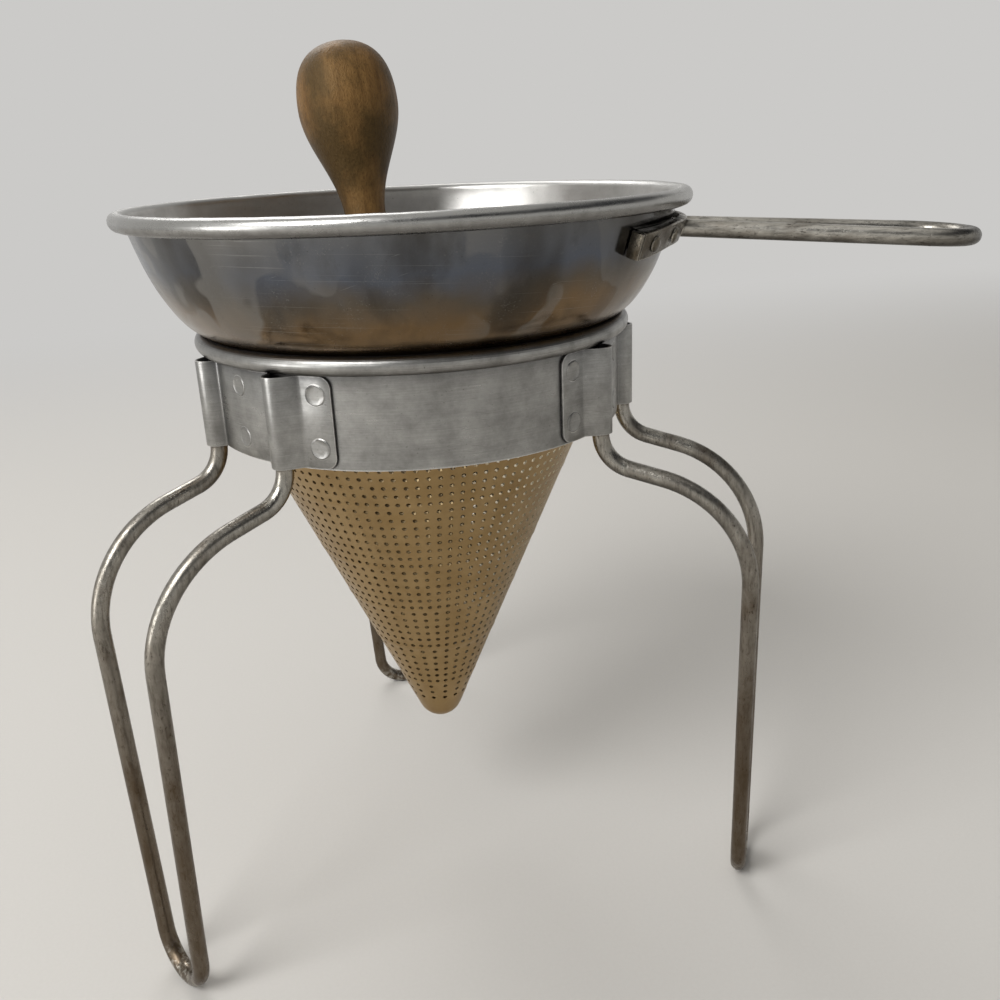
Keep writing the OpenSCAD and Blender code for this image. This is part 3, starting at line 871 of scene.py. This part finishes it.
@dataclass
class SocketPlate:
    """A stamped plate that holds a leg: two channels, a web between them and a tab at each end.

    It is modelled around +X, and then turned to its leg.
    """

    outer_r: float = 80.05 * MM
    low: float = 200.0 * MM
    height: float = 32.0 * MM
    half_width: float = 40.2 * MM
    channel: Point = (79.11 * MM, 22.7 * MM)
    channel_r: float = 4.3 * MM
    flank: float = 66
    sheet: float = 1.0 * MM
    corner: float = 3.9 * MM
    soft: float = 0.9 * MM
    marks: tuple[tuple[float, float, float], ...] = (
        (26, 7, 250), (26, 25.5, 130), (0, 7, 60), (0, 25.5, 190), (-26, 7, 20), (-26, 25.5, 300))
    mark_r: float = 3.35 * MM

    def feet(self) -> tuple[float, float]:
        """Angles at which a channel's flanks run out on the plate, inner one first, in degrees."""
        found = []
        for side in (-1, 1):
            t = math.radians(side * self.flank)
            start = Vector((self.channel[0] + self.channel_r * math.cos(t),
                            self.channel[1] + self.channel_r * math.sin(t)))
            way = Vector((-math.sin(abs(t)), side * math.cos(t)))
            b = start.dot(way)
            run = -b - math.sqrt(b * b - start.length_squared + self.outer_r ** 2)
            foot = start + run * way
            found.append(math.degrees(math.atan2(foot.y, foot.x)))
        return found[0], found[1]

    def outline(self) -> list[Point]:
        """Plan of the plate's outer face, from one tab to the other."""
        inner, outer = self.feet()
        end = math.degrees(math.asin(self.half_width / self.outer_r))
        edge = end - math.degrees(1.15 * self.corner / self.outer_r)
        web = arc((0, 0), self.outer_r, 0, inner, 5)
        back = arc(self.channel, self.channel_r, -self.flank, self.flank, 12)
        tab = arc((0, 0), self.outer_r, outer, edge, 3) + arc((0, 0), self.outer_r, edge, end, 1)[1:]
        half = web + back + tab
        return [(x, -y) for x, y in reversed(half[1:])] + half

    def weld(self, angle: float, height: float, worn: float) -> bpy.types.Object:
        """One spot weld's ring, a low ridge that is worn away on one side.

        Args:
            angle: Where it lies round the plate, in degrees.
            height: Its height over the plate's lower edge, in millimetres.
            worn: Direction of the worn side, in degrees.

        Returns:
            The mark.
        """
        clear_selection()
        bpy.ops.mesh.primitive_circle_add(vertices=32, radius=1.14 * self.mark_r, location=(0, 0, -0.03 * MM))
        mark = settle(bpy.context.object, "weld_mark")
        bpy.ops.object.mode_set(mode="EDIT")
        bpy.ops.mesh.select_mode(type="EDGE")
        bpy.ops.mesh.select_all(action="SELECT")
        line = [(k * self.mark_r, h * MM) for k, h in ((1.05, 0.2), (0.99, 0.28), (0.92, 0.2), (0.84, 0.1),
                                                       (0.5, 0.1), (0.2, 0.09))]
        ring_up(line, (1.14 * self.mark_r, -0.03 * MM))
        bpy.ops.mesh.edge_face_add()
        away = Vector((math.cos(math.radians(worn)), math.sin(math.radians(worn)), 0))
        pick(mark, lambda v: v.co.z > 0.17 * MM and v.co.normalized().dot(away) > 0.55)
        bpy.ops.transform.translate(value=(0, 0, -0.12 * MM))
        pick(mark, lambda v: v.co.z > 0.15 * MM)
        bpy.ops.transform.vertex_random(offset=0.06 * MM, uniform=0.5, seed=int(worn))
        bpy.ops.object.mode_set(mode="OBJECT")
        turn = math.radians(angle)
        r = self.outer_r - 0.04 * MM
        mark.rotation_euler = (0, math.pi / 2, turn)
        mark.location = (r * math.cos(turn), r * math.sin(turn), self.low + height * MM)
        return settle(mark, "weld_mark")

    def build(self, satin: bpy.types.Material, marked: bpy.types.Material) -> bpy.types.Object:
        """Makes the plate.

        Args:
            satin: Material of the plate.
            marked: Material of the weld marks.

        Returns:
            The plate, centred on +X.
        """
        line = [Vector((x, y, self.low)) for x, y in self.outline()]
        plate = seed("socket_plate", line[0])
        draw(line)
        bpy.ops.mesh.select_mode(type="EDGE")
        bpy.ops.mesh.select_all(action="SELECT")
        bpy.ops.mesh.extrude_edges_move(TRANSFORM_OT_translate={"value": (0, 0, self.height)})
        feet = self.feet()

        def crease(edge: bmesh.types.BMEdge) -> bool:
            """Tells whether an edge is the foot of a channel's flank."""
            at = middle(edge)
            turn = abs(math.degrees(math.atan2(at.y, at.x)))
            return abs(edge.verts[0].co.z - edge.verts[1].co.z) > MM and min(abs(turn - foot) for foot in feet) < 0.05

        pick(plate, crease, "EDGE")
        bpy.ops.mesh.bevel(offset=self.soft, offset_type="OFFSET", affect="EDGES", segments=4)
        pick(plate, lambda v: abs(abs(v.co.y) - self.half_width) < 0.05 * MM)
        bpy.ops.mesh.bevel(offset=self.corner, offset_type="OFFSET", affect="VERTICES", segments=6)
        settle(plate, "socket_plate")
        face_out(plate, radial)
        apply(plate, "SOLIDIFY", thickness=self.sheet, offset=-1.0, use_even_offset=True)
        apply(plate, "BEVEL", width=0.22 * MM, segments=2, limit_method="ANGLE", angle_limit=math.radians(55))
        dress(plate, satin)
        marks = [self.weld(*mark) for mark in self.marks]
        for mark in marks:
            dress(mark, marked)
        plate = join([plate] + marks)
        smooth(plate, 40)
        return plate


@dataclass
class HandleBracket:
    """The strap that holds the handle's ends: a skin that folds over their top, and a folded cap at each end."""

    turn: float = -19
    span: float = 68
    root: Point = (99.9 * MM, 269.6 * MM)
    lean: float = 16.6
    depth: float = 4.65 * MM
    half_height: float = 4.8 * MM
    sheet: float = 1.0 * MM
    fold_r: float = 0.9 * MM
    flange_end: float = 1.5 * MM
    cap: float = 1.5 * MM
    slot: float = 0.3 * MM
    lift: float = 0.9 * MM
    droop: float = 1.7 * MM
    waist: float = 0.85
    flare: float = 0.08
    level_to: float = 17

    def section(self, x: float, z: float) -> Point:
        """Radius and height of a place that lies x out from the wall and z up along it."""
        lean = math.radians(self.lean)
        return (self.root[0] + x * math.cos(lean) + z * math.sin(lean),
                self.root[1] - x * math.sin(lean) + z * math.cos(lean))

    def at(self, x: float, z: float, turn: float) -> Vector:
        """A place on the bracket, turned round the bowl by an angle in degrees."""
        r, height = self.section(x, z)
        angle = math.radians(turn)
        return Vector((r * math.cos(angle), r * math.sin(angle), height))

    def ease(self, turn: float) -> float:
        """How far a place is from the level middle toward an end, from 0 to 1."""
        share = min(max((abs(turn - self.turn) - self.level_to) / (self.span / 2 - self.level_to), 0), 1)
        return share * share * (3 - 2 * share)

    def rise(self, turn: float) -> float:
        """How far the strap stands above the handle's root at an angle."""
        return self.lift - self.droop * self.ease(turn)

    def narrow(self, turn: float) -> float:
        """Share of the strap's full height at an angle."""
        return self.waist + self.flare * self.ease(turn)

    def frame_at(self, turn: float) -> Matrix:
        """Directions out of the wall, round the bowl and up the wall, at an angle."""
        turned = Matrix.Rotation(math.radians(turn), 3, "Z") @ Matrix.Rotation(math.radians(self.lean), 3, "Y")
        return turned.transposed()

    def build(self) -> bpy.types.Object:
        """Makes the bracket.

        Returns:
            The finished piece.
        """
        trim = math.degrees((self.cap + self.slot) / self.root[0])
        half = self.span / 2 - trim
        fold = arc((self.depth - self.fold_r, self.half_height - self.fold_r), self.fold_r, 0, 90, 4)
        line = [(self.depth, -self.half_height), (self.depth, 0.0)] + fold + [(self.flange_end, self.half_height)]
        points = [self.at(x, z, self.turn + half) for x, z in line]
        strap = seed("strap", points[0])
        draw(points)
        bpy.ops.mesh.select_mode(type="EDGE")
        bpy.ops.mesh.select_all(action="SELECT")
        steps = 36
        bpy.ops.mesh.spin(steps=steps, angle=math.radians(2 * half), center=(0, 0, 0), axis=(0, 0, 1))
        for i in range(steps + 1):
            turn = self.turn - half + 2 * half * i / steps
            pick(strap, lambda v: abs(math.degrees(math.atan2(v.co.y, v.co.x)) - turn) < half / steps / 2)
            up = self.frame_at(turn)
            bpy.ops.transform.resize(value=(1, 1, self.narrow(turn)), center_override=self.at(0, 0, turn),
                                     orient_type="GLOBAL", orient_matrix=up, orient_matrix_type="GLOBAL")
            bpy.ops.transform.translate(value=self.rise(turn) * up[2])
        settle(strap, "strap")
        face_out(strap, lambda place: radial(place) + Vector((0, 0, 0.05)))
        apply(strap, "SOLIDIFY", thickness=self.sheet, offset=-1.0, use_even_offset=True)
        apply(strap, "BEVEL", width=0.25 * MM, segments=2, limit_method="ANGLE", angle_limit=math.radians(50))
        caps = [self.fold_cap(side * (half + trim - math.degrees(self.cap / 2 / self.root[0]))) for side in (-1, 1)]
        bracket = settle(join([strap] + caps), "handle_bracket_strap")
        smooth(bracket, 40)
        return bracket

    def fold_cap(self, turn: float) -> bpy.types.Object:
        """One end's folded cap, a little prouder than the skin.

        Args:
            turn: Its angle from the handle, in degrees.

        Returns:
            The cap.
        """
        clear_selection()
        bpy.ops.mesh.primitive_cube_add(size=1)
        cap = settle(bpy.context.object, "fold_cap")
        bpy.ops.object.mode_set(mode="EDIT")
        bpy.ops.mesh.select_all(action="SELECT")
        deep = self.depth - 0.15 * MM
        tall = 2 * self.half_height * self.narrow(self.turn + turn)
        bpy.ops.transform.resize(value=(deep, self.cap, tall))
        pick(cap, lambda face: face.normal.x > 0.9, "FACE")
        bpy.ops.mesh.inset(thickness=0.35 * MM)
        bpy.ops.transform.translate(value=(0.25 * MM, 0, 0))
        bpy.ops.mesh.select_all(action="SELECT")
        bpy.ops.mesh.bevel(offset=0.3 * MM, segments=3, affect="EDGES")
        bpy.ops.object.mode_set(mode="OBJECT")
        cap.location = self.at(0.05 * MM + deep / 2, self.rise(self.turn + turn), self.turn + turn)
        cap.rotation_euler = (0, math.radians(self.lean), math.radians(self.turn + turn))
        return settle(cap, "fold_cap")


@dataclass
class Rivets:
    """The domed rivets that hold the bracket, each turned from one outline."""

    bracket: HandleBracket
    turns: tuple[float, ...] = (-28.4, -18.9, 18.9, 28.4)
    shank_r: float = 1.6 * MM
    head_r: float = 2.8 * MM
    head: float = 1.25 * MM
    back: float = 1.35 * MM

    def build(self) -> bpy.types.Object:
        """Makes the four rivets.

        Returns:
            The finished piece.
        """
        deep = self.bracket.depth + 0.05 * MM
        dome = [(math.cos(math.radians(a)), math.sin(math.radians(a))) for a in (0, 14, 30, 48, 66, 88)]
        outer = [(self.head_r * c, deep + self.head * (0.2 + 0.8 * s)) for c, s in dome]
        inner = [(self.head_r * c, -self.back - self.head * (0.2 + 0.8 * s)) for c, s in reversed(dome)]
        line = inner + [(self.head_r, -self.back), (self.shank_r, -self.back), (self.shank_r, deep),
                        (self.head_r, deep)] + outer
        points = [Vector((r, 0, x)) for r, x in line]
        master = seed("rivet", points[0])
        draw(points)
        bpy.ops.mesh.select_mode(type="EDGE")
        bpy.ops.mesh.select_all(action="SELECT")
        bpy.ops.mesh.spin(steps=28, angle=2 * math.pi, center=(0, 0, 0), axis=(0, 0, 1))
        bpy.ops.mesh.select_all(action="SELECT")
        bpy.ops.mesh.remove_doubles(threshold=1e-6)
        for end in (points[0].z, points[-1].z):
            pick(master, lambda e: all(abs(v.co.z - end) < 1e-6 for v in e.verts), "EDGE")
            bpy.ops.mesh.edge_face_add()
        bpy.ops.mesh.select_all(action="SELECT")
        bpy.ops.mesh.normals_make_consistent(inside=False)
        settle(master, "rivet")
        made = []
        for offset in self.turns:
            turn = self.bracket.turn + offset
            rivet = copy(master, "rivet")
            rivet.rotation_euler = (0, math.radians(90 + self.bracket.lean), math.radians(turn))
            rivet.location = self.bracket.at(0, self.bracket.rise(turn), turn)
            made.append(settle(rivet, "rivet"))
        bpy.data.objects.remove(master)
        group = settle(join(made), "bracket_rivets")
        smooth(group, 40)
        return group


@dataclass
class Pestle:
    """The turned pestle, drawn along its own axis and then leant against the cone."""

    length: float = 291.8 * MM
    tip_r: float = 12 * MM
    taper: float = 6.4
    masher: float = 122 * MM
    waist: float = 15 * MM
    neck_r: float = 8.8 * MM
    grip_r: float = 21.7 * MM
    grip: float = 74 * MM
    crown: float = 9 * MM
    lean: float = 17.1
    turn: float = 98.6
    pivot_z: float = 76.62 * MM

    def outline(self) -> list[Point]:
        """Radius and height of the turned outline, from the tip to the crown."""
        sharp = math.radians(self.taper)
        shoulder_r = (self.tip_r + (self.masher - self.tip_r) * math.sin(sharp)) / math.cos(sharp)
        neck_top = self.length - self.grip
        widest = neck_top + 0.65 * self.grip
        neck_low = self.masher + 0.7 * (neck_top - self.masher)
        tip = arc((0, self.tip_r), self.tip_r, -88, -self.taper, 10)
        waist = curve((shoulder_r, self.masher), (shoulder_r * 1.08, self.masher + self.waist),
                      (self.neck_r, self.masher + self.waist), (self.neck_r, neck_low), 20)
        swell = curve((self.neck_r, neck_top), (self.neck_r, neck_top + 0.25 * self.grip),
                      (self.grip_r, widest - 0.22 * self.grip), (self.grip_r, widest), 24)
        crown = curve((self.grip_r, widest), (self.grip_r, self.length - self.crown),
                      (self.grip_r * 0.74, self.length), (0.3 * MM, self.length), 20)
        return tip + waist + swell + crown[1:]

    def build(self) -> bpy.types.Object:
        """Makes the pestle.

        Returns:
            The finished piece.
        """
        line = [Vector((r, 0, z - self.tip_r)) for r, z in self.outline()]
        piece = seed("turned_pestle", line[0])
        draw(line)
        bpy.ops.mesh.select_mode(type="EDGE")
        bpy.ops.mesh.select_all(action="SELECT")
        bpy.ops.mesh.spin(steps=96, angle=2 * math.pi, center=(0, 0, 0), axis=(0, 0, 1))
        bpy.ops.mesh.select_all(action="SELECT")
        bpy.ops.mesh.remove_doubles(threshold=1e-6)
        for end in (line[0].z, line[-1].z):
            pick(piece, lambda e: all(abs(v.co.z - end) < 1e-6 for v in e.verts), "EDGE")
            bpy.ops.mesh.edge_face_add()
        bpy.ops.mesh.select_all(action="SELECT")
        bpy.ops.mesh.normals_make_consistent(inside=False)
        bpy.ops.object.mode_set(mode="OBJECT")
        piece.rotation_euler = (0, math.radians(self.lean), math.radians(self.turn))
        piece.location = (0, 0, self.pivot_z)
        settle(piece, "turned_pestle")
        smooth(piece, 60)
        return piece


@dataclass
class StudioSet:
    """Plain pale floor and backdrop, soft lamps and the camera."""

    half: float = 3.0
    wall_y: float = 2.4
    sweep: float = 0.8
    tall: float = 2.6

    def build(self) -> None:
        """Makes the floor, the lamps, the world and the camera."""
        self.floor()
        self.lamps()
        self.world()
        self.camera()

    def floor(self) -> None:
        """A sheet of pale paper that sweeps up behind the object."""
        rise = arc((self.wall_y - self.sweep, self.sweep), self.sweep, -90, 0, 16)
        line = [(-self.half, 0.0)] + rise + [(self.wall_y, self.tall)]
        points = [Vector((-self.half, y, z)) for y, z in line]
        sheet = seed("studio_floor", points[0])
        draw(points)
        bpy.ops.mesh.select_mode(type="EDGE")
        bpy.ops.mesh.select_all(action="SELECT")
        bpy.ops.mesh.extrude_edges_move(TRANSFORM_OT_translate={"value": (2 * self.half, 0, 0)})
        settle(sheet, "studio_floor")
        face_out(sheet, lambda place: Vector((0, -place.z, 1)))
        smooth(sheet)
        wear = Wear("pale_studio_paper")
        fibre = wear.noise(1.5, 4.0)
        colour = wear.mix(fibre, linear("#cbc8c3"), linear("#c6c3be"))
        paper = wear.close(colour, wear.span(fibre, 0.3, 0.7, 0.85, 0.95), wear.bump(fibre, 0.05, 0.1), 0.0)
        self.even_out(wear)
        dress(sheet, paper)

    def even_out(self, wear: Wear) -> None:
        """Keeps the backdrop behind the object pale for the camera and in metal, without lighting the object."""
        tree = wear.tree
        end = next(node for node in tree.nodes if node.type == "OUTPUT_MATERIAL")
        lit = end.inputs["Surface"].links[0].from_socket
        rays = add(tree, "ShaderNodeLightPath").outputs
        seen = wear.both("MAXIMUM", rays["Is Camera Ray"], rays["Is Glossy Ray"])
        seen = wear.both("MAXIMUM", seen, rays["Is Transmission Ray"])
        parts = add(tree, "ShaderNodeSeparateXYZ", {"Vector": wear.place}).outputs
        behind = add(tree, "ShaderNodeMapRange", {"Value": parts["Y"], "From Min": 0.35, "From Max": 1.6},
                     interpolation_type="SMOOTHSTEP").outputs[0]
        reach = add(tree, "ShaderNodeVectorMath", {0: wear.place}, operation="LENGTH").outputs["Value"]
        around = add(tree, "ShaderNodeMapRange", {"Value": reach, "From Min": 0.9, "From Max": 2.2},
                     interpolation_type="SMOOTHSTEP").outputs[0]
        far = wear.both("MAXIMUM", behind, around)
        glow = add(tree, "ShaderNodeEmission", {"Color": linear("#cbcac8"), "Strength": 1.0}).outputs[0]
        share = wear.both("MULTIPLY", seen, far)
        mixed = add(tree, "ShaderNodeMixShader", {0: share, 1: lit, 2: glow}).outputs[0]
        tree.links.new(mixed, end.inputs["Surface"])

    def lamps(self) -> None:
        """A large soft lamp above to the left, a low one on the same side, and one behind."""
        for name, place, size, power in (
            ("key_lamp", (-1.3, -0.9, 1.7), 1.2, 34.0),
            ("side_lamp", (-1.5, -0.5, 0.4), 0.8, 5.5),
            ("back_lamp", (-0.3, 1.3, 1.6), 1.2, 12.0),
        ):
            clear_selection()
            bpy.ops.object.light_add(type="AREA", location=place)
            lamp = bpy.context.object
            lamp.name = name
            lamp.data.shape = "DISK"
            lamp.data.size = size
            lamp.data.energy = power
            aim = Vector((0, 0, 0.18)) - Vector(place)
            lamp.rotation_euler = aim.to_track_quat("-Z", "Y").to_euler()

    def world(self) -> None:
        """A pale room that is darker high up to the right of the camera, which the metal reflects."""
        world = bpy.data.worlds.new("pale_room")
        bpy.context.scene.world = world
        world.use_nodes = True
        tree = world.node_tree
        tree.nodes.clear()
        direction = add(tree, "ShaderNodeTexCoord").outputs["Generated"]
        parts = add(tree, "ShaderNodeSeparateXYZ", {"Vector": direction}).outputs
        aside = add(tree, "ShaderNodeVectorMath", {0: direction, 1: (0.78, -0.62, 0.0)},
                    operation="DOT_PRODUCT").outputs["Value"]
        side = add(tree, "ShaderNodeMapRange", {"Value": aside, "From Min": -0.4, "From Max": 0.5},
                   interpolation_type="SMOOTHSTEP").outputs[0]
        above = add(tree, "ShaderNodeMapRange", {"Value": parts["Z"], "From Min": 0.28, "From Max": 0.44},
                    interpolation_type="SMOOTHSTEP").outputs[0]
        below = add(tree, "ShaderNodeMapRange", {"Value": parts["Z"], "From Min": 0.7, "From Max": 0.95,
                                                 "To Min": 1.0, "To Max": 0.0},
                    interpolation_type="SMOOTHSTEP").outputs[0]
        band = add(tree, "ShaderNodeMath", {0: above, 1: below}, operation="MULTIPLY").outputs[0]
        dark = add(tree, "ShaderNodeMath", {0: side, 1: band}, operation="MULTIPLY").outputs[0]
        colour = add(tree, "ShaderNodeMix", {0: dark, 6: linear("#e9e8e5"), 7: linear("#4c4d50")},
                     data_type="RGBA").outputs[2]
        back = add(tree, "ShaderNodeBackground", {"Color": colour, "Strength": 0.7})
        add(tree, "ShaderNodeOutputWorld", {"Surface": back.outputs[0]})

    def camera(self) -> None:
        """The photograph's camera."""
        yaw, pitch, roll = 0.22731, 0.34499, -0.04418
        ahead = Vector((math.cos(pitch) * math.sin(yaw), math.cos(pitch) * math.cos(yaw), -math.sin(pitch)))
        level = ahead.cross(Vector((0, 0, 1))).normalized()
        above = level.cross(ahead)
        right = level * math.cos(roll) + above * math.sin(roll)
        up = above * math.cos(roll) - level * math.sin(roll)
        clear_selection()
        bpy.ops.object.camera_add()
        camera = bpy.context.object
        camera.name = "photo_camera"
        turn = Matrix((right, up, -ahead)).transposed().to_4x4()
        camera.matrix_world = Matrix.Translation(Vector((-59.02, -392.53, 301.40)) * MM) @ turn
        camera.data.sensor_width = 36
        camera.data.lens = 36 * 991.93 / 1000
        camera.data.clip_start = 0.01
        bpy.context.scene.camera = camera


def main() -> None:
    """Builds and dresses every piece, and reports each one."""
    logging.basicConfig(level=logging.INFO, format="%(name)s: %(message)s")
    bpy.context.scene.view_settings.view_transform = "Standard"
    satin = SatinSheet().build()
    legs = OldWire().build()
    handle = OldWire(name="aged_bright_steel_handle", bright="#dbd7ce", dull="#b4afa5", turn=19.0,
                     stretch=(0.14, 1, 1), dark_end=212.0).build()
    strap = OldWire(name="aged_bright_steel_strap", bright="#8d8679", dull="#645c4f", seams=0.6,
                    seam_reach=0.7, stretch=(1, 1, 1)).build()
    pestle = Pestle()
    wood = TurnedWood(pestle.lean, pestle.turn).build()

    shell = StrainerShell().build(SpunBowl().build(), PunchedEdge().build())
    install(shell, "strainer", Slot.SHEET, Body.STRAINER)

    master = SocketPlate().build(satin, SatinSheet(name="satin_aluminium_weld_mark", edged=False).build())
    for node, turn in (("socket_plate_left", 210), ("socket_plate_right", 330), ("socket_plate_rear", 90)):
        plate = copy(master, node + "_sheet")
        plate.rotation_euler.z = math.radians(turn)
        settle(plate, node + "_sheet")
        install(plate, node, Slot.SATIN, Body.STAND)
    bpy.data.objects.remove(master)

    holder = HandleBracket()
    for piece, node in ((holder.build(), "handle_bracket"), (Rivets(holder).build(), "handle_rivets")):
        dress(piece, strap)
        install(piece, node, Slot.STEEL, Body.STRAINER)

    turned = pestle.build()
    dress(turned, wood)
    install(turned, "pestle", Slot.WOOD, Body.PESTLE)

    finishes = {"stand_ring": satin, "leg_left": legs, "leg_right": legs, "leg_rear": legs,
                "handle": handle}
    for node, material in finishes.items():
        dress(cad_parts[node], material)
        LOG.info("%s: dressed in %s", node, material.name)
    StudioSet().build()


if __name__ == "__main__":
    main()
